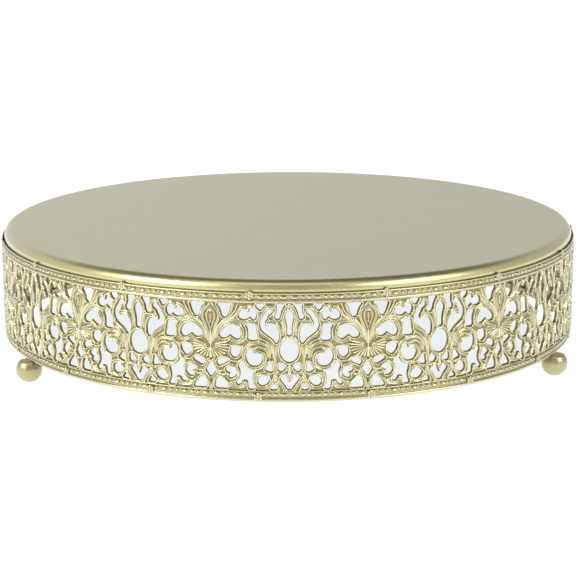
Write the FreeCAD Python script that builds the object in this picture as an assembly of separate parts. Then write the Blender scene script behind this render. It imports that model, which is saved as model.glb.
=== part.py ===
"""Round cake stand: a pressed tray in a soldered filigree band on three ball feet.

Millimetres, +Z up. The origin is on the floor under the centre of the tray, and the
front of the stand, where one tulip of the lace is centred, faces -Y. Around the band,
u is the distance along the wall from a tulip's centre line and v is the height above
the band's lower edge.
"""
import FreeCAD, Part
import os
from math import cos, pi, radians, sin
from FreeCAD import Vector

# Driving dimensions of the whole stand.
BAND_RADIUS = 150.0
BAND_HEIGHT = 51.0
FOOT_RADIUS = 6.5
SEAT_DEPTH = 1.9
TRAY_RISE = 5.1

# The band, from the inside out: tray skirt, lace, border strip.
TRAY_RADIUS = 148.6
LACE_THICKNESS = 0.8
BORDER_HEIGHT = 5.1
BORDER_RIDGE = 0.9
BORDER_CHANNEL_DEPTH = 0.3
PANEL_COUNT = 13

# The tray, pressed from sheet.
TRAY_SHEET = 1.2
TRAY_SHOULDER = 4.5
TRAY_SEAT = 4.8

# The flat-bar hoop inside the lower edge, and the feet under it.
HOOP_WIDTH = 2.4
HOOP_HEIGHT = 3.0
FOOT_CIRCLE = 149.9
FOOT_ANGLES = [62.4, 181.7, 300.9]

# Places that follow from them.
BAND_BOTTOM = 2 * FOOT_RADIUS - SEAT_DEPTH
BAND_TOP = BAND_BOTTOM + BAND_HEIGHT
TRAY_TOP = BAND_TOP + TRAY_RISE
LACE_OUTSIDE = TRAY_RADIUS + LACE_THICKNESS
PANEL_ANGLE = 360.0 / PANEL_COUNT
PANEL_HALF = pi * BAND_RADIUS / PANEL_COUNT

# Openings that lie across a tulip's centre line, given by their right half.
TULIP_SLIT = [
    (0.0, 42.7), (1.2, 41.6), (1.65, 40.0), (1.4, 38.3), (0.95, 36.5), (0.75, 34.5), (0.8, 32.4),
    (0.55, 31.6), (0.0, 31.5),
]
PENDANT_GAP = [
    (0.0, 8.6), (0.8, 9.7), (1.4, 11.2), (1.8, 12.3), (2.7, 12.2), (3.7, 11.5), (4.0, 10.8),
    (3.2, 9.7), (2.1, 8.3), (1.3, 7.0), (0.8, 6.3), (0.0, 6.2),
]
OVAL_CENTRE_HEIGHT = 24.2
OVAL_HALF_WIDTH = 4.05
OVAL_HALF_HEIGHT = 5.2

# Openings in the right half of a panel, each a closed smooth outline.
SIDE_OPENINGS = {
    "beside_tulip": [
        (2.5, 45.4), (4.0, 45.5), (5.5, 45.4), (5.4, 43.6), (5.7, 41.6), (6.4, 40.1), (6.0, 39.2),
        (5.0, 39.1), (4.4, 40.4), (4.1, 42.0), (3.3, 43.8),
    ],
    "petal": [
        (5.8, 27.9), (5.1, 29.5), (5.0, 32.2), (5.7, 34.7), (7.0, 36.0), (8.6, 36.2), (10.3, 35.2),
        (11.3, 36.0), (11.3, 37.5), (10.5, 38.9), (9.9, 40.4), (8.8, 41.3), (8.1, 42.2), (8.8, 43.3),
        (10.1, 42.5), (11.5, 40.3), (12.7, 38.2), (13.1, 36.0), (12.3, 33.6), (10.4, 31.9), (7.9, 30.1),
        (6.5, 28.4),
    ],
    "above_stem": [(11.8, 45.2), (13.3, 45.5), (14.8, 45.3), (14.4, 44.1), (13.2, 43.2), (12.4, 44.0)],
    "scroll_eye": [
        (15.2, 40.6), (15.4, 42.4), (16.9, 43.7), (17.8, 43.2), (18.1, 41.9), (19.0, 41.4), (19.9, 42.0),
        (20.7, 42.7), (22.1, 42.0), (22.8, 40.5), (22.4, 39.2), (20.6, 38.7), (19.3, 39.0), (18.4, 39.8),
        (17.5, 39.8), (16.8, 39.0), (15.9, 38.8),
    ],
    "beside_fleur": [
        (27.1, 45.3), (29.6, 45.5), (32.7, 45.3), (31.7, 43.6), (31.0, 41.8), (30.5, 40.1), (29.2, 39.6),
        (28.2, 41.0), (27.5, 43.1),
    ],
    "under_scroll": [
        (14.7, 29.4), (15.1, 31.6), (15.3, 34.0), (15.9, 35.8), (17.6, 36.1), (19.4, 35.9), (18.7, 34.0),
        (18.5, 31.5), (18.5, 29.4), (16.6, 29.1),
    ],
    "wing_eye": [
        (22.4, 31.0), (22.8, 33.0), (24.1, 34.8), (26.2, 35.6), (28.4, 35.0), (30.2, 33.5), (31.7, 31.7),
        (31.5, 30.3), (29.9, 29.8), (28.5, 30.4), (27.2, 31.5), (25.9, 30.6), (24.3, 29.6), (23.0, 29.8),
    ],
    "link": [
        (22.4, 25.2), (24.4, 25.5), (26.3, 25.2), (26.6, 23.8), (26.6, 22.2), (24.8, 20.9), (23.3, 22.0),
        (22.6, 23.6),
    ],
    "spiral_eye": [
        (12.6, 20.2), (12.9, 21.5), (14.0, 22.2), (15.5, 22.3), (16.9, 22.6), (17.3, 23.9), (18.1, 24.6),
        (19.0, 23.8), (19.5, 22.1), (19.4, 20.2), (18.5, 18.2), (17.0, 17.2), (15.3, 17.1), (13.7, 17.8),
    ],
    "under_fan": [
        (28.2, 19.2), (29.4, 19.9), (31.0, 19.8), (32.4, 19.2), (32.9, 18.0), (32.4, 16.9), (31.1, 17.3),
        (29.4, 18.2),
    ],
    "foot_scroll_eye": [
        (24.6, 13.3), (25.3, 14.9), (26.6, 15.7), (28.1, 15.6), (29.0, 14.7), (28.2, 13.9), (27.2, 13.6),
        (27.1, 12.6), (27.6, 11.6), (26.9, 11.1), (25.7, 11.6), (24.9, 12.3),
    ],
    "between_scrolls": [
        (21.6, 18.6), (22.6, 18.0), (23.0, 16.6), (22.4, 14.9), (22.2, 13.0), (22.7, 10.9), (24.1, 8.7),
        (23.2, 8.2), (22.3, 8.9), (21.7, 10.1), (20.3, 10.4), (19.0, 9.8), (18.6, 8.0), (18.4, 6.4),
        (17.2, 6.2), (16.2, 6.4), (16.9, 8.1), (17.3, 10.4), (16.9, 12.7), (16.5, 14.2), (18.3, 15.0),
        (19.8, 15.9), (20.9, 17.3),
    ],
    "foot_corner": [
        (28.6, 6.3), (31.2, 6.2), (33.7, 6.3), (33.9, 8.0), (33.5, 9.7), (32.6, 11.0), (31.4, 10.4),
        (29.9, 8.8),
    ],
    "ring_eye": [
        (9.5, 10.1), (10.2, 11.4), (11.7, 12.1), (13.2, 11.7), (14.1, 10.3), (13.9, 8.7), (12.5, 7.9),
        (10.8, 8.5),
    ],
    "stem_right": [
        (8.0, 14.5), (8.1, 16.4), (8.5, 18.5), (9.3, 17.7), (10.1, 16.4), (10.8, 15.3), (9.3, 14.6),
    ],
    "stem_left": [
        (2.3, 16.2), (3.3, 17.3), (4.3, 17.9), (4.8, 16.8), (4.8, 15.3), (4.2, 14.7), (3.1, 14.9),
    ],
    "foot_notch": [(5.8, 6.3), (6.3, 7.3), (7.0, 8.1), (7.8, 7.3), (8.5, 6.3), (7.1, 6.1)],
}

# The opening that lies across the seam of two panels, given by its part in this one.
SEAM_DIAMOND = [(PANEL_HALF, 17.8), (35.3, 16.4), (34.4, 14.3), (35.2, 12.8), (PANEL_HALF, 11.6)]


def save(shape, node):
    shape.exportStep(f"parts/{node}.step")


def ring(inner, outer, low, high):
    """A plain tube about the Z axis."""
    section = [Vector(inner, 0, low), Vector(outer, 0, low), Vector(outer, 0, high), Vector(inner, 0, high)]
    return turned(section)


def turned(section):
    """The solid that a closed polygon in the XZ plane makes, turned about the Z axis."""
    face = Part.Face(Part.makePolygon(section + section[:1]))
    return face.revolve(Vector(0, 0, 0), Vector(0, 0, 1), 360)


def around(shape, angle):
    """A copy turned about the Z axis, by degrees from the front towards +X."""
    copy = shape.copy()
    copy.rotate(Vector(0, 0, 0), Vector(0, 0, 1), angle)
    return copy


def shoulder_arc(centre, radius, first, last):
    """An arc of the tray's shoulder, between two angles in degrees above the level."""
    points = []
    for angle in (first, (first + last) / 2, last):
        points.append(centre + Vector(radius * cos(radians(angle)), 0, radius * sin(radians(angle))))
    return Part.Arc(*points).toShape()


def tray():
    """The inverted pan: a flat top, a rounded shoulder and a skirt that drops inside the band."""
    middle = TRAY_RADIUS - TRAY_SHOULDER
    bottom = BAND_TOP - TRAY_SEAT
    inner = TRAY_SHOULDER - TRAY_SHEET
    centre = Vector(middle, 0, TRAY_TOP - TRAY_SHOULDER)
    top = [Vector(0, 0, TRAY_TOP), Vector(middle, 0, TRAY_TOP)]
    skirt = [
        centre + Vector(TRAY_SHOULDER, 0, 0),
        Vector(TRAY_RADIUS, 0, bottom),
        Vector(TRAY_RADIUS - TRAY_SHEET, 0, bottom),
        centre + Vector(inner, 0, 0),
    ]
    under = [centre + Vector(0, 0, inner), Vector(0, 0, TRAY_TOP - TRAY_SHEET), Vector(0, 0, TRAY_TOP)]
    edges = Part.makePolygon(top).Edges + [shoulder_arc(centre, TRAY_SHOULDER, 90, 0)]
    edges += Part.makePolygon(skirt).Edges + [shoulder_arc(centre, inner, 0, 90)]
    edges += Part.makePolygon(under).Edges
    return Part.Face(Part.Wire(edges)).revolve(Vector(0, 0, 0), Vector(0, 0, 1), 360)


def border(low):
    """A strip round the band: two ridges with the channel of the bead row between them."""
    channel = BAND_RADIUS - BORDER_CHANNEL_DEPTH
    high = low + BORDER_HEIGHT
    return turned([
        Vector(LACE_OUTSIDE, 0, low),
        Vector(BAND_RADIUS, 0, low),
        Vector(BAND_RADIUS, 0, low + BORDER_RIDGE),
        Vector(channel, 0, low + BORDER_RIDGE),
        Vector(channel, 0, high - BORDER_RIDGE),
        Vector(BAND_RADIUS, 0, high - BORDER_RIDGE),
        Vector(BAND_RADIUS, 0, high),
        Vector(LACE_OUTSIDE, 0, high),
    ])


def on_wall(u, v, depth):
    """The point of the wall's middle at u and v, brought out to a plane in front of the panel."""
    radius = TRAY_RADIUS + LACE_THICKNESS / 2
    return Vector(radius * sin(u / BAND_RADIUS), depth, BAND_BOTTOM + v)


def punch(outline, mirrored):
    """The punch of one opening: its smooth outline, run through the panel from front to back."""
    front = -BAND_RADIUS - BORDER_HEIGHT
    reach = TRAY_RADIUS * (1 - cos(radians(PANEL_ANGLE / 2))) + 3 * BORDER_HEIGHT
    side = -1 if mirrored else 1
    curve = Part.BSplineCurve()
    curve.interpolate([on_wall(side * u, v, front) for u, v in outline], PeriodicFlag=True)
    return Part.Face(Part.Wire(curve.toShape())).extrude(Vector(0, reach, 0))


def whole(half, axis=0.0):
    """The closed outline of an opening that is the same on both sides of an upright line."""
    other = [(2 * axis - u, v) for u, v in reversed(half[1:-1])]
    return half + other


def oval():
    steps = 12
    turns = [2 * pi * step / steps for step in range(steps)]
    return [(OVAL_HALF_WIDTH * sin(a), OVAL_CENTRE_HEIGHT + OVAL_HALF_HEIGHT * cos(a)) for a in turns]


def filigree_panel():
    """One repeat of the lace, facing the front, with plain rails behind the border strips."""
    tube = ring(TRAY_RADIUS, LACE_OUTSIDE, BAND_BOTTOM, BAND_TOP)
    far = 2 * BAND_RADIUS
    half = radians(PANEL_ANGLE / 2)
    side = far * sin(half)
    front = -far * cos(half)
    corners = [Vector(0, 0, 0), Vector(-side, front, 0), Vector(side, front, 0)]
    wedge = Part.Face(Part.makePolygon(corners + corners[:1])).extrude(Vector(0, 0, TRAY_TOP))
    panel = tube.common(wedge)
    punches = [punch(oval(), False), punch(whole(TULIP_SLIT), False), punch(whole(PENDANT_GAP), False)]
    for mirrored in (False, True):
        punches += [punch(outline, mirrored) for outline in SIDE_OPENINGS.values()]
        punches.append(punch(whole(SEAM_DIAMOND, PANEL_HALF), mirrored))
    return panel.cut(punches)


def base_hoop():
    """The flat-bar hoop soldered inside the band's lower edge."""
    return ring(TRAY_RADIUS - HOOP_WIDTH, TRAY_RADIUS, BAND_BOTTOM, BAND_BOTTOM + HOOP_HEIGHT)


def ball_foot():
    """A ball with a flat ground on top, on which the band's lower edge and its hoop sit."""
    ball = Part.makeSphere(FOOT_RADIUS, Vector(0, -FOOT_CIRCLE, FOOT_RADIUS))
    ground_off = Part.makeCylinder(FOOT_RADIUS, FOOT_RADIUS, Vector(0, -FOOT_CIRCLE, BAND_BOTTOM))
    return ball.cut(ground_off)


def main():
    os.makedirs("parts", exist_ok=True)
    save(tray(), "tray")
    save(border(BAND_TOP - BORDER_HEIGHT), "upper_border")
    save(border(BAND_BOTTOM), "lower_border")
    save(base_hoop(), "base_hoop")

    panel = filigree_panel()
    for number in range(PANEL_COUNT):
        save(around(panel, number * PANEL_ANGLE), f"filigree_panel_{number + 1:02d}")

    foot = ball_foot()
    for number, angle in enumerate(FOOT_ANGLES):
        save(around(foot, angle), f"ball_foot_{number + 1}")


main()
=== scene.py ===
from math import cos, pi, radians, sin

import bmesh
import bpy
import numpy as np
from mathutils import Euler, Matrix, Vector


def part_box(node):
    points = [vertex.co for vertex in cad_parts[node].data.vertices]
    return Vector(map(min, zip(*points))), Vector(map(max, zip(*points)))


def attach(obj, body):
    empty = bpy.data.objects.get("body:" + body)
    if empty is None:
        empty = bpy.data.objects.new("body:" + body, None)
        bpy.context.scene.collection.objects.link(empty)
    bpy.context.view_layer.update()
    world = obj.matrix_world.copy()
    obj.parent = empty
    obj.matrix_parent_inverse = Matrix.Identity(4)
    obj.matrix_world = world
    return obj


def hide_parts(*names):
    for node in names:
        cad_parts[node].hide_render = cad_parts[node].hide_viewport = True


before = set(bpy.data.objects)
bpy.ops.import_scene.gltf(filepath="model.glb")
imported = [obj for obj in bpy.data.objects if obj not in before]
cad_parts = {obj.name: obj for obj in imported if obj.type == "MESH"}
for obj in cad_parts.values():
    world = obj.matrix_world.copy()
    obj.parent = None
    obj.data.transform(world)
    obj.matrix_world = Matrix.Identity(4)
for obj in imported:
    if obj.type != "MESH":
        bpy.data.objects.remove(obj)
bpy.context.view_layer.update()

# A round cake stand: a pressed tray in a filigree band on ball feet. The CAD model gives every place and
# size; this script gives the lace, the borders and the tray their relief, and every surface its finish.
# Along the wall, u is the distance in mm from a tulip's centre line and v the height above the band's
# lower edge. Angles go round the stand in degrees, from the front (-Y) towards +X.

MM = 0.001

BAND_LOW, BAND_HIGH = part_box("lower_border")[0].z / MM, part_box("upper_border")[1].z / MM
BAND_RADIUS = round(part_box("upper_border")[1].x / MM, 1)
BORDER_HEIGHT = BAND_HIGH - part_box("upper_border")[0].z / MM
BAND_HEIGHT = BAND_HIGH - BAND_LOW
PANELS = sorted(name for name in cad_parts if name.startswith("filigree_panel"))
PANEL_ANGLE = 360.0 / len(PANELS)
PANEL_HALF = pi * BAND_RADIUS / len(PANELS)
TRAY_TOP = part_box("tray")[1].z / MM
TRAY_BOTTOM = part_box("tray")[0].z / MM
TRAY_RADIUS = round(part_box("tray")[1].x / MM, 1)

# The lace: the radius of its back, the radius where its relief is 0, how far out a relief of 1 is from
# there, the spacing of its points, the relief of the plain web, and how far round a stroke it is searched.
LACE_BACK = 148.65
LACE_WEB = 149.0
LACE_RISE = 1.2
LACE_GRID = 0.22
WEB_HEIGHT = 0.12
REACH = 1.4
# Relief of the crests of the ridges, the buds and the ring round the oval, and half the ring's width.
RIDGE_CREST, BUD_CREST, RING_CREST = 0.85, 1.05, 0.95
RING_HALF = 0.85
LACE_LOW, LACE_TOP = 4.6, BAND_HEIGHT - 4.6

# Outlines of the lace's openings, the same as the CAD model's. ROLLED_BACK, further down, widens them.
OVAL = (0.0, 24.2, 4.05, 5.2)
CENTRE_OPENINGS = {
    "tulip_slit": [
        (0.0, 42.7), (1.2, 41.6), (1.65, 40.0), (1.4, 38.3), (0.95, 36.5), (0.75, 34.5), (0.8, 32.4),
        (0.55, 31.6), (0.0, 31.5),
    ],
    "pendant_gap": [
        (0.0, 8.6), (0.8, 9.7), (1.4, 11.2), (1.8, 12.3), (2.7, 12.2), (3.7, 11.5), (4.0, 10.8),
        (3.2, 9.7), (2.1, 8.3), (1.3, 7.0), (0.8, 6.3), (0.0, 6.2),
    ],
}
SEAM_DIAMOND = [(PANEL_HALF, 17.8), (35.3, 16.4), (34.4, 14.3), (35.2, 12.8), (PANEL_HALF, 11.6)]
SIDE_OPENINGS = {
    "beside_tulip": [
        (2.5, 45.4), (4.0, 45.5), (5.5, 45.4), (5.4, 43.6), (5.7, 41.6), (6.4, 40.1), (6.0, 39.2),
        (5.0, 39.1), (4.4, 40.4), (4.1, 42.0), (3.3, 43.8),
    ],
    "petal": [
        (5.8, 27.9), (5.1, 29.5), (5.0, 32.2), (5.7, 34.7), (7.0, 36.0), (8.6, 36.2), (10.3, 35.2),
        (11.3, 36.0), (11.3, 37.5), (10.5, 38.9), (9.9, 40.4), (8.8, 41.3), (8.1, 42.2), (8.8, 43.3),
        (10.1, 42.5), (11.5, 40.3), (12.7, 38.2), (13.1, 36.0), (12.3, 33.6), (10.4, 31.9), (7.9, 30.1),
        (6.5, 28.4),
    ],
    "above_stem": [(11.8, 45.2), (13.3, 45.5), (14.8, 45.3), (14.4, 44.1), (13.2, 43.2), (12.4, 44.0)],
    "scroll_eye": [
        (15.2, 40.6), (15.4, 42.4), (16.9, 43.7), (17.8, 43.2), (18.1, 41.9), (19.0, 41.4), (19.9, 42.0),
        (20.7, 42.7), (22.1, 42.0), (22.8, 40.5), (22.4, 39.2), (20.6, 38.7), (19.3, 39.0), (18.4, 39.8),
        (17.5, 39.8), (16.8, 39.0), (15.9, 38.8),
    ],
    "beside_fleur": [
        (27.1, 45.3), (29.6, 45.5), (32.7, 45.3), (31.7, 43.6), (31.0, 41.8), (30.5, 40.1), (29.2, 39.6),
        (28.2, 41.0), (27.5, 43.1),
    ],
    "under_scroll": [
        (14.7, 29.4), (15.1, 31.6), (15.3, 34.0), (15.9, 35.8), (17.6, 36.1), (19.4, 35.9), (18.7, 34.0),
        (18.5, 31.5), (18.5, 29.4), (16.6, 29.1),
    ],
    "wing_eye": [
        (22.4, 31.0), (22.8, 33.0), (24.1, 34.8), (26.2, 35.6), (28.4, 35.0), (30.2, 33.5), (31.7, 31.7),
        (31.5, 30.3), (29.9, 29.8), (28.5, 30.4), (27.2, 31.5), (25.9, 30.6), (24.3, 29.6), (23.0, 29.8),
    ],
    "link": [
        (22.4, 25.2), (24.4, 25.5), (26.3, 25.2), (26.6, 23.8), (26.6, 22.2), (24.8, 20.9), (23.3, 22.0),
        (22.6, 23.6),
    ],
    "spiral_eye": [
        (12.6, 20.2), (12.9, 21.5), (14.0, 22.2), (15.5, 22.3), (16.9, 22.6), (17.3, 23.9), (18.1, 24.6),
        (19.0, 23.8), (19.5, 22.1), (19.4, 20.2), (18.5, 18.2), (17.0, 17.2), (15.3, 17.1), (13.7, 17.8),
    ],
    "under_fan": [
        (28.2, 19.2), (29.4, 19.9), (31.0, 19.8), (32.4, 19.2), (32.9, 18.0), (32.4, 16.9), (31.1, 17.3),
        (29.4, 18.2),
    ],
    "foot_scroll_eye": [
        (24.6, 13.3), (25.3, 14.9), (26.6, 15.7), (28.1, 15.6), (29.0, 14.7), (28.2, 13.9), (27.2, 13.6),
        (27.1, 12.6), (27.6, 11.6), (26.9, 11.1), (25.7, 11.6), (24.9, 12.3),
    ],
    "between_scrolls": [
        (21.6, 18.6), (22.6, 18.0), (23.0, 16.6), (22.4, 14.9), (22.2, 13.0), (22.7, 10.9), (24.1, 8.7),
        (23.2, 8.2), (22.3, 8.9), (21.7, 10.1), (20.3, 10.4), (19.0, 9.8), (18.6, 8.0), (18.4, 6.4),
        (17.2, 6.2), (16.2, 6.4), (16.9, 8.1), (17.3, 10.4), (16.9, 12.7), (16.5, 14.2), (18.3, 15.0),
        (19.8, 15.9), (20.9, 17.3),
    ],
    "foot_corner": [
        (28.6, 6.3), (31.2, 6.2), (33.7, 6.3), (33.9, 8.0), (33.5, 9.7), (32.6, 11.0), (31.4, 10.4),
        (29.9, 8.8),
    ],
    "ring_eye": [
        (9.5, 10.1), (10.2, 11.4), (11.7, 12.1), (13.2, 11.7), (14.1, 10.3), (13.9, 8.7), (12.5, 7.9),
        (10.8, 8.5),
    ],
    "stem_right": [
        (8.0, 14.5), (8.1, 16.4), (8.5, 18.5), (9.3, 17.7), (10.1, 16.4), (10.8, 15.3), (9.3, 14.6),
    ],
    "stem_left": [
        (2.3, 16.2), (3.3, 17.3), (4.3, 17.9), (4.8, 16.8), (4.8, 15.3), (4.2, 14.7), (3.1, 14.9),
    ],
    "foot_notch": [(5.8, 6.3), (6.3, 7.3), (7.0, 8.1), (7.8, 7.3), (8.5, 6.3), (7.1, 6.1)],
}

# Grooved scrolls of the lace's right half: centre line, then half-widths at its start, middle and end.
SCROLLS = {
    "tulip": (
        [
            (0.0, 45.4), (1.3, 43.6), (2.5, 41.4), (2.75, 39.2), (2.3, 37.0), (1.8, 34.5),
            (1.6, 31.0),
        ],
        0.9, 1.0, 0.7,
    ),
    "petal": (
        [
            (4.4, 27.6), (4.3, 31.5), (4.8, 34.6), (6.2, 36.9), (8.0, 37.7), (9.7, 37.2),
            (10.5, 36.3),
        ],
        0.65, 1.05, 0.85,
    ),
    "curl": (
        [
            (14.1, 35.0), (13.4, 38.0), (12.3, 40.6), (10.9, 43.0), (9.3, 44.4), (7.6, 44.1),
            (6.8, 42.6), (7.0, 41.0), (8.2, 40.3), (9.2, 40.6),
        ],
        0.9, 1.0, 0.6,
    ),
    "flame": (
        [(6.9, 23.6), (7.6, 27.2), (9.3, 29.6), (11.7, 31.2), (13.7, 33.2), (14.2, 35.6)],
        0.5, 0.75, 0.7,
    ),
    "flame_under": (
        [(7.9, 22.8), (8.9, 26.4), (11.0, 28.6), (13.4, 29.4), (15.2, 28.9)],
        0.5, 0.55, 0.4,
    ),
    "spiral": (
        [
            (8.9, 20.8), (9.1, 23.8), (10.5, 26.3), (13.3, 27.7), (16.2, 27.5), (18.8, 26.4),
            (20.5, 24.2), (20.8, 21.1), (19.9, 18.1), (18.0, 16.1), (15.5, 15.5), (13.1, 16.2),
            (11.4, 18.1), (11.1, 20.5), (11.9, 22.5), (13.9, 23.5), (16.4, 23.5),
        ],
        0.6, 1.1, 0.75,
    ),
    "spiral_inner": (
        [(9.9, 21.2), (10.3, 23.6), (11.8, 25.2), (13.8, 25.7), (15.6, 25.0)],
        0.4, 0.6, 0.6,
    ),
    "c_scroll": (
        [
            (19.0, 42.0), (18.9, 43.5), (17.7, 44.6), (16.0, 44.6), (14.6, 43.3), (14.2, 41.2),
            (14.6, 39.1), (16.1, 37.7), (18.2, 37.2), (20.6, 37.5), (22.8, 38.5), (24.6, 40.2),
        ],
        0.75, 0.9, 0.5,
    ),
    "wing_outer": (
        [
            (21.6, 36.6), (24.2, 38.3), (27.3, 38.2), (30.2, 36.6), (32.4, 34.2), (34.0, 31.2),
            (34.9, 28.2),
        ],
        0.55, 0.8, 0.5,
    ),
    "wing": (
        [
            (26.2, 28.3), (24.0, 28.0), (22.0, 29.2), (21.2, 31.4), (21.6, 34.0), (23.2, 36.1),
            (25.8, 36.9), (28.6, 36.2), (31.0, 34.2), (32.6, 31.8), (33.6, 29.2),
        ],
        0.6, 0.9, 0.5,
    ),
    "wing_under": (
        [(24.6, 26.9), (22.2, 27.6), (20.3, 29.3), (19.5, 31.8), (19.8, 34.4), (21.0, 36.4)],
        0.4, 0.7, 0.5,
    ),
    "stem": (
        [
            (5.7, 27.6), (6.0, 24.4), (6.5, 21.0), (6.5, 17.5), (6.5, 14.0), (7.1, 11.0),
            (8.4, 8.4), (10.5, 6.8), (13.0, 6.6), (15.1, 7.8), (15.9, 10.1), (15.1, 12.4),
            (13.2, 13.5), (10.9, 13.4), (9.2, 13.1),
        ],
        0.6, 1.0, 0.65,
    ),
    "pendant_arm": ([(0.4, 16.6), (1.7, 15.0), (3.2, 13.8), (4.8, 13.4), (6.2, 13.6)], 0.6, 0.8, 0.6),
    "strut": ([(6.6, 12.4), (5.2, 10.4), (3.9, 8.5), (2.7, 6.7), (2.2, 4.8)], 0.6, 0.9, 0.9),
    "strut_outer": ([(6.6, 11.0), (5.8, 8.9), (5.2, 7.0), (4.8, 4.8)], 0.5, 0.7, 0.7),
    "foot_scroll": (
        [
            (32.4, 16.2), (30.6, 17.0), (28.6, 17.3), (26.2, 16.9), (24.3, 15.6), (23.3, 13.4),
            (23.7, 10.9), (25.2, 9.0), (27.0, 8.4),
        ],
        0.6, 0.95, 0.6,
    ),
    "foot_arc": (
        [
            (35.0, 19.2), (34.3, 16.4), (33.1, 13.7), (31.4, 11.0), (29.0, 8.6), (26.2, 7.1),
            (23.2, 6.6), (20.9, 7.3), (20.2, 8.9),
        ],
        0.8, 1.05, 0.8,
    ),
    "fork": ([(34.0, 12.4), (34.7, 9.8), (35.5, 7.4), (36.25, 4.8)], 0.6, 0.85, 0.6),
    "bud_outer": (
        [
            (36.25, 45.6), (34.7, 43.9), (33.1, 42.2), (32.3, 40.2), (32.8, 37.8), (34.0, 35.0),
            (35.1, 31.4), (35.7, 27.0),
        ],
        0.7, 0.8, 0.5,
    ),
    "bud_inner": (
        [(36.25, 43.6), (35.0, 42.0), (34.3, 40.2), (34.5, 38.4), (35.2, 36.4), (36.0, 33.8)],
        0.5, 0.55, 0.4,
    ),
    "tulip_stalk": ([(4.7, 38.6), (3.6, 37.2), (3.1, 35.0), (3.0, 31.4)], 0.5, 0.55, 0.5),
}

# Plain ridges: centre line and half-width.
RIDGES = {
    "bud_vein": ([(36.25, 40.6), (36.25, 36.6)], 0.4),
    "bud_stem": ([(36.25, 33.0), (36.25, 24.0)], 0.5),
    "pendant": ([(0.0, 14.6), (0.0, 12.4), (0.0, 9.6)], 0.95),
    "pendant_stem": ([(0.0, 18.4), (0.0, 15.6)], 0.6),
    "pendant_barb": ([(3.1, 13.4), (3.0, 14.9)], 0.4),
    "wing_bud_stalk": ([(26.8, 30.9), (26.9, 29.6), (27.6, 28.6)], 0.5),
    "wing_top": ([(34.8, 30.4), (33.3, 33.8), (31.3, 36.8), (29.6, 38.3)], 0.6),
    "link_under": ([(21.2, 20.6), (22.7, 19.2), (25.0, 18.8), (27.4, 19.2), (28.9, 20.8)], 0.5),
    "shell_brow": ([(27.3, 28.9), (29.8, 29.5), (32.2, 28.9)], 0.45),
    "c_scroll_bud": ([(16.9, 38.7), (18.0, 39.2), (19.0, 38.8)], 0.5),
    "curl_bud": ([(7.6, 41.6), (7.9, 42.8)], 0.6),
    "leaf_1": ([(29.2, 38.0), (27.4, 40.4), (26.3, 42.8), (25.6, 45.6)], 0.5),
    "leaf_2": ([(28.0, 38.4), (26.0, 40.8), (24.6, 43.0), (23.6, 45.6)], 0.5),
    "leaf_3": ([(26.6, 38.6), (24.7, 40.4), (23.4, 42.6), (22.0, 44.2), (20.2, 44.5)], 0.6),
    "stem_bud": ([(7.3, 21.8), (7.5, 24.2), (8.3, 26.4)], 0.45),
    "foot_leaf": ([(32.6, 14.0), (30.9, 14.1), (29.6, 14.5)], 0.55),
    "foot_leaf_under": ([(32.2, 12.3), (30.4, 12.3), (28.6, 12.7)], 0.6),
}

# Round buds: centre and radius.
BUDS = [
    (15.9, 25.0, 0.8), (16.7, 23.5, 0.8), (7.1, 21.4, 0.7), (8.9, 13.2, 0.85), (20.5, 9.2, 1.15),
    (26.8, 31.0, 0.75), (18.1, 39.1, 0.75), (19.0, 42.0, 0.85), (10.5, 36.3, 1.0), (4.9, 38.4, 0.6),
    (9.2, 40.4, 0.7), (0.0, 13.4, 1.1), (0.0, 16.8, 0.7), (29.4, 14.6, 0.75), (28.4, 12.8, 0.75),
    (36.25, 42.0, 0.75), (36.25, 24.0, 0.9),
]

# The shell under the fleur-de-lis: ribs that spread from a point on the seam, from a little above level
# (a negative turn) round to straight down.
SHELL_CENTRE = (PANEL_HALF, 25.8)
SHELL_TURNS = [-24, -8, 8, 24, 40, 54, 66, 77, 88]
SHELL_START, SHELL_REACH_SIDE, SHELL_REACH_DOWN = 2.0, 9.4, 6.1

# The pierced edges are rolled back, so each opening is this much wider than the CAD model's all round. A
# raised line follows it a little further in.
ROLLED_BACK = 0.26
EDGE_LINE = 0.64
EDGE_LINE_WIDTH = 0.36
# The face is rounded over this width beside an opening, and falls back by this much there.
EDGE_ROUND, EDGE_FALL = 0.45, 0.15
# The relief value of the lace's plain back, which paints shade in a darker tone on the back and on the
# openings' walls.
BACK_PAINTED_SHADE = 0.3


def smooth(points, closed=False, step=0.35):
    """A curve through the points, Catmull-Rom, as close straight pieces."""
    p = np.array(points, float)
    if len(p) == 2:
        return p
    before = p[-1:] if closed else 2 * p[:1] - p[1:2]
    after = p[:2] if closed else 2 * p[-1:] - p[-2:-1]
    ends = np.vstack([before, p, after])
    line = []
    for k in range(1, len(ends) - 2):
        a, b, c, d = ends[k - 1 : k + 3]
        count = max(2, int(np.ceil(np.hypot(*(c - b)) / step)))
        t = np.arange(count)[:, None] / count
        square = (2 * a - 5 * b + 4 * c - d) * t**2
        cube = (3 * b - a - 3 * c + d) * t**3
        line.append(0.5 * (2 * b + (c - a) * t + square + cube))
    line.append(p[:1] if closed else p[-1:])
    return np.vstack(line)


def near(u, v, line, reach):
    """For each grid point within reach: its index, its distance from the line and its share along it."""
    low, high = line.min(0) - reach, line.max(0) + reach
    inside = np.flatnonzero((u >= low[0]) & (u <= high[0]) & (v >= low[1]) & (v <= high[1]))
    p = np.stack([u[inside], v[inside]], 1)
    start, run = line[:-1], np.diff(line, axis=0)
    size = (run**2).sum(1)
    t = np.clip(((p[:, None] - start) * run).sum(2) / size, 0, 1)
    gap = np.hypot(*np.moveaxis(p[:, None] - (start + t[:, :, None] * run), 2, 0))
    nearest = gap.argmin(1)
    rows = np.arange(len(p))
    passed = np.r_[0, np.cumsum(np.sqrt(size))]
    along = (passed[nearest] + t[rows, nearest] * np.sqrt(size[nearest])) / passed[-1]
    return inside, gap[rows, nearest], along


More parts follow.
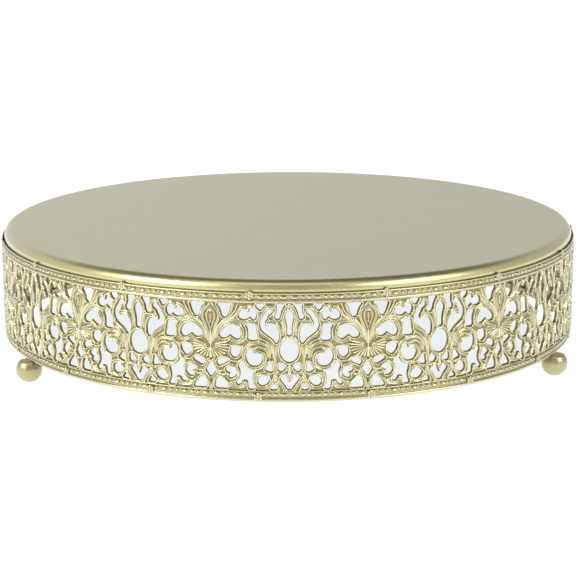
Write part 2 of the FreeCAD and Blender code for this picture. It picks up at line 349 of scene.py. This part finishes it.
def in_outline(u, v, outline):
    """Whether each point is inside a closed outline."""
    inside = np.zeros(u.shape, bool)
    for (x0, y0), (x1, y1) in zip(outline[:-1], outline[1:]):
        if y0 != y1:
            crosses = (v >= min(y0, y1)) & (v < max(y0, y1))
            inside ^= crosses & (u < x0 + (v - y0) * (x1 - x0) / (y1 - y0))
    return inside


def both_sides(half, axis=0.0):
    """The whole outline of an opening that is the same on both sides of an upright line."""
    return half + [(2 * axis - u, v) for u, v in reversed(half[1:-1])]


def openings():
    u0, v0, half_width, half_height = OVAL
    turns = [radians(30 * k) for k in range(12)]
    outlines = [[(u0 + half_width * sin(a), v0 + half_height * cos(a)) for a in turns]]
    outlines += [both_sides(half) for half in CENTRE_OPENINGS.values()]
    outlines.append(both_sides(SEAM_DIAMOND, PANEL_HALF))
    return outlines + list(SIDE_OPENINGS.values())


def metal_margin(u, v):
    """How far each point is inside the metal: positive in it, negative in an opening."""
    margin = np.full(u.shape, 9.0)
    for outline in openings():
        line = smooth(outline, closed=True)
        index, gap, _ = near(u, v, line, 2.0)
        gap = np.where(in_outline(u[index], v[index], line), -gap, gap)
        margin[index] = np.minimum(margin[index], gap)
    return margin - ROLLED_BACK


def grooved(q):
    """Height across a scroll: a rounded bar with a narrow groove down the middle."""
    bar = np.clip(1 - np.abs(q) ** 2.5, 0, 1) ** 0.6
    return bar - 0.6 * np.exp(-((q / 0.26) ** 2))


def raise_to(height, index, value):
    height[index] = np.maximum(height[index], value)


def lace_height(u, v):
    """Relief of the lace's right half, from WEB_HEIGHT on the web to about 1 on the crests."""
    height = np.full(u.shape, WEB_HEIGHT)
    for points, start, middle, end in SCROLLS.values():
        index, gap, along = near(u, v, smooth(points), REACH)
        widths = [start, (start + middle) / 2, middle, (middle + end) / 2, end]
        half_width = np.interp(along, [0, 0.2, 0.5, 0.85, 1], widths)
        q = gap / half_width
        raise_to(height, index, np.where(q < 1, grooved(q) * (0.7 + 0.3 * half_width), 0))
    for points, half_width in RIDGES.values():
        index, gap, _ = near(u, v, smooth(points), REACH)
        raise_to(height, index, RIDGE_CREST * np.sqrt(np.clip(1 - (gap / half_width) ** 2, 0, 1)))
    for bud_u, bud_v, radius in BUDS:
        q = np.hypot(u - bud_u, v - bud_v) / radius
        raise_to(height, np.flatnonzero(q < 1), BUD_CREST * np.sqrt(1 - q[q < 1] ** 2))
    shell(u, v, height)
    u0, v0, half_width, half_height = OVAL
    oval = np.hypot((u - u0) / (half_width + 0.75), (v - v0) / (half_height + 0.85)) - 1
    q = np.abs(oval * (half_width + half_height) / 2) / RING_HALF
    raise_to(height, np.flatnonzero(q < 1), RING_CREST * grooved(q[q < 1]))
    return height


def shell(u, v, height):
    """Adds the ribbed shell, which spreads sideways and down under the fleur-de-lis."""
    across = (SHELL_CENTRE[0] - u) / SHELL_REACH_SIDE
    down = (SHELL_CENTRE[1] - v) / SHELL_REACH_DOWN
    reach = np.hypot(across, down)
    turn = np.degrees(np.arctan2(down, across))
    spacing = np.interp(turn, [-30, 40, 60, 90], [7.4, 7.0, 5.5, 5.0])
    off = np.min([np.abs(turn - rib) for rib in SHELL_TURNS], axis=0) / spacing
    rib = np.clip(1 - off**2, 0, 1)
    end = 0.9 + 0.1 * rib
    fan = (turn > SHELL_TURNS[0] - 7) & (turn < SHELL_TURNS[-1] + 5)
    inside = np.flatnonzero((reach < end) & fan & (reach * SHELL_REACH_SIDE > SHELL_START))
    fall = np.sqrt(np.clip((end - reach) / 0.12, 0, 1))
    raise_to(height, inside, ((0.1 + 0.95 * rib) * fall)[inside])


def with_edge_lines(height, inset):
    """The relief with a raised line along every opening, and the scrolls kept clear of it."""
    clear = np.clip((inset - EDGE_LINE - 0.25) / 0.4, 0, 1)
    clear = clear * clear * (3 - 2 * clear)
    line = np.exp(-(((inset - EDGE_LINE) / EDGE_LINE_WIDTH) ** 2))
    return np.maximum(height * clear, line)


def lace_fields():
    """The panel's grid: u, v, how far inside the metal, and relief, mirrored from its right half."""
    columns = int(round(PANEL_HALF / LACE_GRID))
    rows = int(round((LACE_TOP - LACE_LOW) / LACE_GRID))
    v, u = np.meshgrid(np.linspace(LACE_LOW, LACE_TOP, rows + 1), np.linspace(0, PANEL_HALF, columns + 1))
    margin = metal_margin(u.ravel(), v.ravel()).reshape(u.shape)
    height = with_edge_lines(lace_height(u.ravel(), v.ravel()), margin.ravel()).reshape(u.shape)
    fields = [u, v, margin, height]
    signs = [-1, 1, 1, 1]
    return [np.vstack([sign * field[:0:-1], field]) for field, sign in zip(fields, signs)]


def trace(u, v, margin):
    """Faces of the metal. Points beside an opening's edge move onto it, and other faces are cut there."""
    du = np.gradient(margin, axis=0) / LACE_GRID
    dv = np.gradient(margin, axis=1) / LACE_GRID
    steep = np.maximum(du**2 + dv**2, 0.25)
    snap = np.abs(margin) < 0.3 * LACE_GRID
    snap[0] = snap[-1] = False
    u = u - np.where(snap, margin * du / steep, 0)
    v = v - np.where(snap, margin * dv / steep, 0)
    margin = np.where(snap, 0, margin)
    points = [(a, b) for a, b in zip(u.ravel(), v.ravel())]
    flat = margin.ravel()
    ids = np.arange(flat.size).reshape(margin.shape)
    corners = np.stack([ids[:-1, :-1], ids[1:, :-1], ids[1:, 1:], ids[:-1, 1:]], -1).reshape(-1, 4)
    solid = flat[corners] >= 0
    faces = corners[solid.all(1)].tolist()
    cuts = {}
    for cell in corners[solid.any(1) & ~solid.all(1)].tolist():
        face = []
        for a, b in zip(cell, cell[1:] + cell[:1]):
            if flat[a] >= 0:
                face.append(a)
            if (flat[a] > 0 > flat[b]) or (flat[a] < 0 < flat[b]):
                key = (min(a, b), max(a, b))
                if key not in cuts:
                    cuts[key] = len(points)
                    t = flat[key[0]] / (flat[key[0]] - flat[key[1]])
                    p, q = points[key[0]], points[key[1]]
                    points.append((p[0] + t * (q[0] - p[0]), p[1] + t * (q[1] - p[1])))
                face.append(cuts[key])
        if len(face) > 2:
            faces.append(face)
    return np.array(points), faces, cuts


def on_wall(u, v, radius):
    """Points of the band, from the distance along it, the height above its lower edge and a radius."""
    turn = np.asarray(u) / BAND_RADIUS
    x, y, z = radius * np.sin(turn), -radius * np.cos(turn), BAND_LOW + np.asarray(v)
    return np.stack(np.broadcast_arrays(x, y, z), -1) * MM


def rim_edges(faces):
    """The directed edges that only one face has."""
    seen = {}
    for face in faces:
        for a, b in zip(face, face[1:] + face[:1]):
            seen[(a, b)] = True
    return [(a, b) for a, b in seen if (b, a) not in seen]


def make_mesh(name, points, faces, relief=None):
    mesh = bpy.data.meshes.new(name)
    mesh.from_pydata([tuple(p) for p in points], [], faces)
    if relief is not None:
        layer = mesh.attributes.new("relief", "FLOAT", "POINT")
        layer.data.foreach_set("value", np.asarray(relief, np.float32))
    mesh.shade_smooth()
    mesh.update()
    return mesh


def weld(mesh):
    """Joins the points that meet at a turned piece's middle."""
    shape = bmesh.new()
    shape.from_mesh(mesh)
    bmesh.ops.remove_doubles(shape, verts=shape.verts, dist=1e-7)
    shape.to_mesh(mesh)
    shape.free()
    return mesh


def lace_mesh():
    u, v, margin, height = lace_fields()
    points, faces, cuts = trace(u, v, margin)
    grid = np.concatenate([height.ravel(), np.zeros(len(cuts))])
    inset = np.concatenate([np.clip(margin.ravel(), 0, None), np.zeros(len(cuts))])
    for (a, b), k in cuts.items():
        grid[k] = max(grid[a], grid[b])
    edge = np.clip(inset / EDGE_ROUND, 0, 1)
    rounded = np.sqrt(1 - (1 - edge) ** 2)
    radius = LACE_WEB - EDGE_FALL + EDGE_FALL * rounded + LACE_RISE * grid * (0.35 + 0.65 * rounded)
    used = sorted({k for face in faces for k in face})
    renumber = {k: n for n, k in enumerate(used)}
    faces = [[renumber[k] for k in face] for face in faces]
    points, radius, grid = points[used], radius[used], grid[used]
    count = len(used)
    front = on_wall(points[:, 0], points[:, 1], radius)
    back = on_wall(points[:, 0], points[:, 1], LACE_BACK)
    walls = [[b, a, a + count, b + count] for a, b in rim_edges(faces)]
    backs = [[k + count for k in reversed(face)] for face in faces]
    # Painted shade: the tone falls to its darkest at the openings' edges, drawing dark outlines, and is low
    # on the plain web; the crests get a painted highlight.
    shade = grid * np.clip((inset[used] - 0.12) / 0.4, 0, 1)
    relief = np.concatenate([shade, np.full(count, BACK_PAINTED_SHADE)])
    return make_mesh("lace", np.vstack([front, back]), faces + walls + backs, relief)


def lace_panels(mesh):
    """One repeat of the lace for each CAD panel, all sharing a mesh."""
    for number, node in enumerate(PANELS):
        panel = bpy.data.objects.new(f"lace_{number + 1:02d}", mesh)
        bpy.context.collection.objects.link(panel)
        panel.rotation_euler = (0, 0, radians(number * PANEL_ANGLE))
        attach(panel, "root")
        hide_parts(node)


# The border strips: a row of beads in a channel between two ridges. A section is a list of distances
# inwards from the strip's outer edge, which is the band's top or bottom edge, each with its radius.
BORDER_BACK = 149.4
CHANNEL = 149.35
UPPER_SECTION = [
    (0.0, 149.45), (0.1, 149.75), (0.35, 149.98), (0.65, 149.98), (0.95, 149.75),
    (1.15, CHANNEL + 0.05), (1.25, CHANNEL), (3.25, CHANNEL), (3.4, CHANNEL + 0.05),
    (3.65, 149.8), (4.0, 150.0), (4.5, 149.95), (4.85, 149.75), (5.1, 149.45),
]
LOWER_SECTION = [
    (0.0, 149.45), (0.1, 149.75), (0.35, 149.95), (0.95, 149.98), (1.3, 149.75),
    (1.55, CHANNEL + 0.05), (1.7, CHANNEL), (4.1, CHANNEL), (4.25, CHANNEL + 0.05),
    (4.45, 149.75), (4.7, 149.95), (4.9, 149.9), (5.1, 149.6),
]
UPPER_BEADS, LOWER_BEADS = 2.3, 3.1
BEAD_RISE = 0.72
# Beads of one half repeat of the lace: long beads with two short ones between each pair.
LONG_BEADS, END_GAP = 4, 2.6
LONG_PITCH = (PANEL_HALF - 2 * END_GAP) / (LONG_BEADS - 1)
LONG_HALF, SHORT_HALF, BEAD_HALF_HEIGHT = 1.75, 0.88, 0.76
SHORT_OFFSET = 1.42
COLUMNS_PER_HALF_REPEAT = 145


def bead_places():
    """Centre and half-length of each bead of a half repeat."""
    places = []
    for k in range(LONG_BEADS):
        centre = END_GAP + k * LONG_PITCH
        places.append((centre, LONG_HALF))
        if k < LONG_BEADS - 1:
            middle = centre + LONG_PITCH / 2
            places += [(middle - SHORT_OFFSET, SHORT_HALF), (middle + SHORT_OFFSET, SHORT_HALF)]
    return places


def border_radius(along, down, section, bead_down):
    """Radius of a border's face at a distance along the strip and inwards from its outer edge."""
    heights, radii = zip(*section)
    base = np.interp(down, heights, radii)
    place = np.mod(along, 2 * PANEL_HALF)
    place = np.minimum(place, 2 * PANEL_HALF - place)
    bead = np.zeros(base.shape)
    for centre, half_length in bead_places():
        q = np.hypot((place - centre) / half_length, (down - bead_down) / BEAD_HALF_HEIGHT)
        bead = np.maximum(bead, np.sqrt(np.clip(1 - q**2, 0, 1)))
    return np.maximum(base, CHANNEL + BEAD_RISE * bead)


def border_mesh(name, outer_edge, inward, section, bead_down):
    """A border strip. outer_edge is the height of its outer edge, and inward is -1 (down) or 1 (up).
    Its relief value, which paints shade and highlight, is stronger than its height and fades at the outer
    edge: dark in the channel and at the outer edge, light on the beads and ridges."""
    columns = COLUMNS_PER_HALF_REPEAT * 2 * len(PANELS)
    downs = np.concatenate([[0.0, 0.1, 0.22], np.arange(0.4, 4.8, 0.2), [4.85, 4.98, BORDER_HEIGHT]])
    along, down = np.meshgrid(np.arange(columns) * 2 * pi * BAND_RADIUS / columns, downs, indexing="ij")
    radius = border_radius(along, down, section, bead_down)
    rows = len(downs) + 2
    front = on_wall(along, outer_edge + inward * down, radius)
    back = on_wall(along[:, :2], outer_edge + inward * np.array([BORDER_HEIGHT, 0.0])[None, :], BORDER_BACK)
    points = np.concatenate([front, back], 1)
    # Painted shade and painted highlight: the tone rises with the face's height above the channel and is
    # darkened at the outer edge; the back is painted a darker 0.4.
    outer_edge_shade = np.clip((down + 0.08) / 0.45, 0, 1)
    tone = 1.12 * (radius - CHANNEL) * outer_edge_shade
    relief = np.concatenate([tone, np.full((columns, 2), 0.4)], 1)
    ids = np.arange(columns * rows).reshape(columns, rows)
    after = np.roll(ids, -1, 0)
    quads = np.stack([ids, np.roll(ids, -1, 1), np.roll(after, -1, 1), after], -1).reshape(-1, 4)
    if inward > 0:
        quads = quads[:, ::-1]
    return make_mesh(name, points.reshape(-1, 3), quads.tolist(), relief.ravel())


# The small flowers on the borders: their size, and for each border how many it has, where the first one is
# in degrees, and how far they are from the band's edge.
ROSETTE_RADIUS = 2.3
ROSETTE_BASE = 149.75
ROSETTE_RISE = 0.62
ROSETTE_PETALS = 6
UPPER_ROSETTES, UPPER_ROSETTE_TURN, UPPER_ROSETTE_DOWN = 15, -6.9, 1.3
LOWER_ROSETTES, LOWER_ROSETTE_TURN, LOWER_ROSETTE_UP = 18, -5.5, 2.2


def rosette(angle, v):
    """Points and faces of a small flower on a border: a round heart in a ring of petals."""
    rings, spokes = 9, 36
    points, relief = [], []
    for ring in range(rings + 1):
        share = ring / rings
        for spoke in range(spokes):
            turn = 2 * pi * spoke / spokes
            petal = abs(cos(turn * ROSETTE_PETALS / 2))
            reach = ROSETTE_RADIUS * share * (0.78 + 0.22 * petal)
            heart = max(0.0, 1 - (share / 0.32) ** 2) ** 0.5
            leaf = (0.45 + 0.55 * petal) * max(0.0, 1 - ((share - 0.66) / 0.36) ** 2) ** 0.5
            rise = max(heart, leaf)
            radius = ROSETTE_BASE + ROSETTE_RISE * rise - (0.5 if ring == rings else 0.0)
            u = radians(angle) * BAND_RADIUS + reach * sin(turn)
            points.append(on_wall(u, v + reach * cos(turn), radius))
            # Painted shade and painted highlight: the flower's tone is lighter where it rises and darker at
            # its base.
            relief.append(0.75 * rise)
    faces = []
    for ring in range(rings):
        for spoke in range(spokes):
            a, b = ring * spokes + spoke, ring * spokes + (spoke + 1) % spokes
            faces.append([a, b, b + spokes, a + spokes])
    faces.append([rings * spokes + spoke for spoke in range(spokes)])
    return points, faces, relief


def rosette_mesh(name, angles, v):
    points, faces, relief = [], [], []
    for angle in angles:
        more_points, more_faces, more_relief = rosette(angle, v)
        faces += [[k + len(points) for k in face] for face in more_faces]
        points += more_points
        relief += more_relief
    return weld(make_mesh(name, np.array(points), faces, np.array(relief)))


def add(name, mesh, slot, *nodes):
    piece = bpy.data.objects.new(name, mesh)
    bpy.context.collection.objects.link(piece)
    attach(piece, "root")
    if nodes:
        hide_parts(*nodes)
    return piece


def tray_section():
    """The tray's outline, from the middle of its top round the skirt to the middle underneath."""
    sheet, shoulder = 1.2, 4.5
    middle = TRAY_RADIUS - shoulder
    level = TRAY_TOP - shoulder
    outline = [(reach, TRAY_TOP) for reach in (0, 40, 80, 120, 140)]
    turns = np.radians(np.linspace(90, 0, 19))
    outline += [(middle + shoulder * cos(a), level + shoulder * sin(a)) for a in turns]
    outline += [(TRAY_RADIUS, TRAY_BOTTOM + 0.2), (TRAY_RADIUS - 0.2, TRAY_BOTTOM)]
    outline += [(TRAY_RADIUS - sheet, TRAY_BOTTOM)]
    inner = shoulder - sheet
    outline += [(middle + inner * cos(a), level + inner * sin(a)) for a in turns[::-3]]
    outline += [(100, TRAY_TOP - sheet), (0, TRAY_TOP - sheet)]
    return outline


def lathe(name, section, segments, centre=(0, 0)):
    """A section that starts and ends on an upright axis, turned about it."""
    x, y = centre
    turns = np.arange(segments) * 2 * pi / segments
    points = np.array([[(x + r * sin(a), y - r * cos(a), z) for r, z in section] for a in turns]) * MM
    ids = np.arange(segments * len(section)).reshape(segments, -1)
    after = np.roll(ids, -1, 0)
    quads = np.stack([ids[:, :-1], ids[:, 1:], after[:, 1:], after[:, :-1]], -1).reshape(-1, 4)
    return weld(make_mesh(name, points.reshape(-1, 3), quads.tolist()))


def foot_section(radius):
    """A ball with a flat seat under the band, and a low dome of solder on the seat."""
    seat = BAND_LOW - radius
    seat_radius = (radius**2 - seat**2) ** 0.5
    outline = [(0, BAND_LOW + 0.35), (1.2, BAND_LOW + 0.32), (2.4, BAND_LOW + 0.2), (3.4, BAND_LOW + 0.03)]
    outline += [(seat_radius - 0.5, BAND_LOW - 0.1)]
    start = np.degrees(np.arcsin(seat / radius)) - 3
    for angle in np.radians(np.linspace(start, -90, 40)[:-1]):
        outline.append((radius * cos(angle), radius + radius * sin(angle)))
    return outline + [(0, 0)]


def ball_feet():
    feet = []
    for node in sorted(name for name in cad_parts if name.startswith("ball_foot")):
        low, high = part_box(node)
        middle = (low + high) / 2 / MM
        radius = (high.x - low.x) / 2 / MM
        ball = lathe(node, foot_section(radius), 72, (middle.x, middle.y))
        feet.append(add(f"turned_{node}", ball, "foot_metal", node))
    return feet


# Materials.


def new_material(name):
    material = bpy.data.materials.new(name)
    material.use_nodes = True
    nodes, links = material.node_tree.nodes, material.node_tree.links
    return material, nodes, links, nodes["Principled BSDF"]


def noise(nodes, links, coordinates, scale, detail=2.0):
    node = nodes.new("ShaderNodeTexNoise")
    node.inputs["Scale"].default_value = scale
    node.inputs["Detail"].default_value = detail
    links.new(coordinates.outputs["Object"], node.inputs["Vector"])
    return node


def ramp(nodes, links, source, stops):
    node = nodes.new("ShaderNodeValToRGB")
    node.color_ramp.elements[0].position, node.color_ramp.elements[0].color = stops[0]
    node.color_ramp.elements[1].position, node.color_ramp.elements[1].color = stops[-1]
    for position, color in stops[1:-1]:
        node.color_ramp.elements.new(position).color = color
    links.new(source, node.inputs[0])
    return node


def grey_ramp(nodes, links, source, low, high):
    return ramp(nodes, links, source, [(0.3, (low,) * 3 + (1,)), (0.7, (high,) * 3 + (1,))])


def map_range(nodes, links, source, low, high, start=0.0, end=1.0):
    node = nodes.new("ShaderNodeMapRange")
    node.interpolation_type = "SMOOTHSTEP"
    links.new(source, node.inputs["Value"])
    node.inputs["From Min"].default_value, node.inputs["From Max"].default_value = low, high
    node.inputs["To Min"].default_value, node.inputs["To Max"].default_value = start, end
    return node.outputs["Result"]


def mix_color(nodes, links, factor, first, second, blend="MIX"):
    node = nodes.new("ShaderNodeMix")
    node.data_type = "RGBA"
    node.blend_type = blend
    for socket, source in ((0, factor), (6, first), (7, second)):
        if isinstance(source, (tuple, float)):
            node.inputs[socket].default_value = source
        else:
            links.new(source, node.inputs[socket])
    return node.outputs[2]


def champagne(name, body, crest, roughness, coat_roughness, grain, painted_shade=None):
    """Champagne-gold lacquer over metal, with fine grain. Given a painted-shade colour, its colour follows
    the relief attribute: painted shade where the value is low (recesses, the openings' edges, the backs),
    body in between, and a painted highlight in the crest colour on the crests; the lacquer's gloss is also
    thinner where the value is low, which paints shade into the reflections there. Otherwise it is a faint
    random blotch of body and crest."""
    material, nodes, links, shader = new_material(name)
    place = nodes.new("ShaderNodeTexCoord")
    blotch = noise(nodes, links, place, 60.0, 3.0)
    shader.inputs["Coat Weight"].default_value = 0.9
    if painted_shade:
        # Painted shade and painted highlight: the colour darkens where the relief value is low and lightens
        # on the crests.
        layer = nodes.new("ShaderNodeAttribute")
        layer.attribute_name = "relief"
        tone = ramp(nodes, links, layer.outputs["Fac"], [(0.12, painted_shade), (0.55, body), (0.95, crest)])
        # Painted shade on the reflections: the coat is thinner where the relief value is low.
        painted_shade_coat = map_range(nodes, links, layer.outputs["Fac"], 0.05, 0.45, 0.25, 0.95)
        links.new(painted_shade_coat, shader.inputs["Coat Weight"])
    else:
        tone = ramp(nodes, links, blotch.outputs["Fac"], [(0.3, body), (0.7, crest)])
    links.new(tone.outputs["Color"], shader.inputs["Base Color"])
    shader.inputs["Metallic"].default_value = 0.95
    shader.inputs["Coat Roughness"].default_value = coat_roughness
    wear = noise(nodes, links, place, 900.0, 3.0)
    rough = grey_ramp(nodes, links, wear.outputs["Fac"], roughness - 0.03, roughness + 0.04)
    links.new(rough.outputs["Color"], shader.inputs["Roughness"])
    fine = noise(nodes, links, place, 2600.0, 2.0)
    bump = nodes.new("ShaderNodeBump")
    bump.inputs["Strength"].default_value = grain
    bump.inputs["Distance"].default_value = 0.0002
    links.new(fine.outputs["Fac"], bump.inputs["Height"])
    links.new(bump.outputs["Normal"], shader.inputs["Normal"])
    return material


# The floor is a lit white table, so it also lights the stand from below. It glows less in the stand's
# shade. The shade lies a little behind the stand, which gives the pale grey seen through the lace.
GLOW_IN_SHADE = (0.65, 0.685, 0.76, 1)
GLOW_OUTSIDE = (0.84, 0.85, 0.88, 1)
SHADE_CENTRE = (0, 0.045, 0)
SHADE_REACH, SHADE_END = 0.137, 0.153


def floor_material():
    material, nodes, links, shader = new_material("floor")
    place = nodes.new("ShaderNodeTexCoord")
    reach = nodes.new("ShaderNodeVectorMath")
    reach.operation = "DISTANCE"
    links.new(place.outputs["Object"], reach.inputs[0])
    reach.inputs[1].default_value = SHADE_CENTRE
    shade = map_range(nodes, links, reach.outputs["Value"], SHADE_REACH, SHADE_END)
    links.new(mix_color(nodes, links, shade, GLOW_IN_SHADE, GLOW_OUTSIDE), shader.inputs["Emission Color"])
    tone = grey_ramp(nodes, links, noise(nodes, links, place, 3.0).outputs["Fac"], 0.49, 0.51)
    links.new(tone.outputs["Color"], shader.inputs["Base Color"])
    shader.inputs["Roughness"].default_value = 0.7
    shader.inputs["Emission Strength"].default_value = 1.0
    return material


def finish_with(material, *objects):
    for piece in objects:
        piece.data.materials.clear()
        piece.data.materials.append(material)


# The studio.


def floor():
    size = 6.0
    corners = [(-size, -size, 0), (size, -size, 0), (size, size, 0), (-size, size, 0)]
    sheet = bpy.data.objects.new("floor", make_mesh("floor", corners, [[0, 1, 2, 3]]))
    bpy.context.collection.objects.link(sheet)
    finish_with(floor_material(), sheet)


def area_light(name, place, target, size, power, color=(1, 1, 1)):
    data = bpy.data.lights.new(name, "AREA")
    data.shape = "RECTANGLE"
    data.size, data.size_y = size
    data.energy = power
    data.color = color
    lamp = bpy.data.objects.new(name, data)
    bpy.context.collection.objects.link(lamp)
    lamp.location = place
    lamp.rotation_euler = (Vector(target) - Vector(place)).to_track_quat("-Z", "Y").to_euler()


# Brightness of the studio walls against the sine of the height angle, behind the stand and before it; how
# dark the wall behind the camera is; and how the walls dim from the left to the right.
SKY_BEHIND = [(0.0, 0.66), (0.25, 0.73), (0.54, 0.7), (0.72, 0.14), (0.9, 0.1), (1.0, 0.2)]
SKY_BEFORE = [(0.0, 0.85), (0.25, 0.7), (0.6, 0.45), (0.85, 0.35), (1.0, 0.25)]
CAMERA_CORNER = 0.55
LEFT_WALL, RIGHT_WALL = 1.05, 0.8


def cool_white(stops):
    return [(z, (grey, grey * 1.02, grey * 1.05, 1)) for z, grey in stops]


def studio():
    world = bpy.data.worlds.new("studio")
    bpy.context.scene.world = world
    world.use_nodes = True
    back = world.node_tree.nodes["Background"]
    nodes, links = world.node_tree.nodes, world.node_tree.links
    place = nodes.new("ShaderNodeTexCoord")
    split = nodes.new("ShaderNodeSeparateXYZ")
    links.new(place.outputs["Generated"], split.inputs["Vector"])
    behind = ramp(nodes, links, split.outputs["Z"], cool_white(SKY_BEHIND))
    before = ramp(nodes, links, split.outputs["Z"], cool_white(SKY_BEFORE))
    side = map_range(nodes, links, split.outputs["Y"], -0.4, 0.4)
    walls = mix_color(nodes, links, side, before.outputs["Color"], behind.outputs["Color"])
    corner = map_range(nodes, links, split.outputs["Y"], -0.97, -0.8, CAMERA_CORNER, 1.0)
    dimmed = mix_color(nodes, links, 1.0, walls, corner, "MULTIPLY")
    sideways = map_range(nodes, links, split.outputs["X"], -0.6, 0.6, LEFT_WALL, RIGHT_WALL)
    links.new(mix_color(nodes, links, 1.0, dimmed, sideways, "MULTIPLY"), back.inputs["Color"])
    back.inputs["Strength"].default_value = 1.0
    aim = (0, 0, 0.04)
    area_light("overhead", (-0.1, -0.55, 1.25), aim, (1.0, 0.3), 1.45)
    area_light("left", (-1.1, -0.8, 0.9), aim, (0.9, 0.8), 11)
    area_light("right", (1.1, -0.9, 0.9), aim, (0.9, 0.8), 9)


# The camera, at the photograph's angle.
AIM_HEIGHT = 28.85 * MM
AIM_DISTANCE = 0.9459
CAMERA_PITCH = 13.373
CAMERA_TURN = -0.22
CAMERA_ROLL = -0.19
LENS = 110.5


def camera():
    data = bpy.data.cameras.new("camera")
    data.lens = LENS
    data.sensor_width = 36.0
    data.clip_start, data.clip_end = 0.05, 50
    view = bpy.data.objects.new("camera", data)
    bpy.context.collection.objects.link(view)
    pitch, turn = radians(CAMERA_PITCH), radians(CAMERA_TURN)
    back = Vector((sin(turn) * cos(pitch), -cos(turn) * cos(pitch), sin(pitch)))
    upright = Euler((pi / 2 - pitch, 0, turn)).to_matrix()
    roll = Matrix.Rotation(radians(CAMERA_ROLL), 3, "Z")
    place = Vector((0, 0, AIM_HEIGHT)) + back * AIM_DISTANCE
    view.matrix_world = Matrix.Translation(place) @ (upright @ roll).to_4x4()
    bpy.context.scene.camera = view


lace = lace_mesh()
lace_panels(lace)
upper_mesh = border_mesh("upper_strip", BAND_HEIGHT, -1, UPPER_SECTION, UPPER_BEADS)
upper = add("upper_strip", upper_mesh, "border_metal", "upper_border")
lower_mesh = border_mesh("lower_strip", 0.0, 1, LOWER_SECTION, LOWER_BEADS)
lower = add("lower_strip", lower_mesh, "border_metal", "lower_border")
upper_angles = [UPPER_ROSETTE_TURN + 360.0 / UPPER_ROSETTES * k for k in range(UPPER_ROSETTES)]
lower_angles = [LOWER_ROSETTE_TURN + 360.0 / LOWER_ROSETTES * k for k in range(LOWER_ROSETTES)]
upper_flower_mesh = rosette_mesh("upper_rosettes", upper_angles, BAND_HEIGHT - UPPER_ROSETTE_DOWN)
upper_flowers = add("upper_rosettes", upper_flower_mesh, "border_metal")
lower_flower_mesh = rosette_mesh("lower_rosettes", lower_angles, LOWER_ROSETTE_UP)
lower_flowers = add("lower_rosettes", lower_flower_mesh, "border_metal")
pan = add("pressed_tray", lathe("pressed_tray", tray_section(), 360), "tray_metal", "tray")

# Colours of the lace, borders and flowers: painted shade in the recesses, at the openings' edges and on the
# backs; the metal's body colour; and a painted highlight on the crests.
PAINTED_SHADE, BODY, PAINTED_HIGHLIGHT = (0.30, 0.265, 0.125, 1), (0.54, 0.50, 0.27, 1), (0.87, 0.835, 0.56, 1)
TRAY_DARK, TRAY_LIGHT = (0.62, 0.575, 0.27, 1), (0.65, 0.605, 0.29, 1)
BALL_DARK, BALL_LIGHT = (0.46, 0.415, 0.215, 1), (0.50, 0.455, 0.24, 1)
gold_with_painted_shade = champagne("gold_with_painted_shade", BODY, PAINTED_HIGHLIGHT, 0.28, 0.19, 0.02, PAINTED_SHADE)
tray_gold = champagne("tray_gold", TRAY_DARK, TRAY_LIGHT, 0.3, 0.28, 0.008)
ball_gold = champagne("ball_gold", BALL_DARK, BALL_LIGHT, 0.36, 0.3, 0.01)
for piece in (upper, lower, upper_flowers, lower_flowers):
    finish_with(gold_with_painted_shade, piece)
lace.materials.append(gold_with_painted_shade)
finish_with(tray_gold, pan)
finish_with(ball_gold, *ball_feet(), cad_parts["base_hoop"])

floor()
studio()
camera()
bpy.context.scene.view_settings.view_transform = "Standard"

bpy.context.view_layer.update()
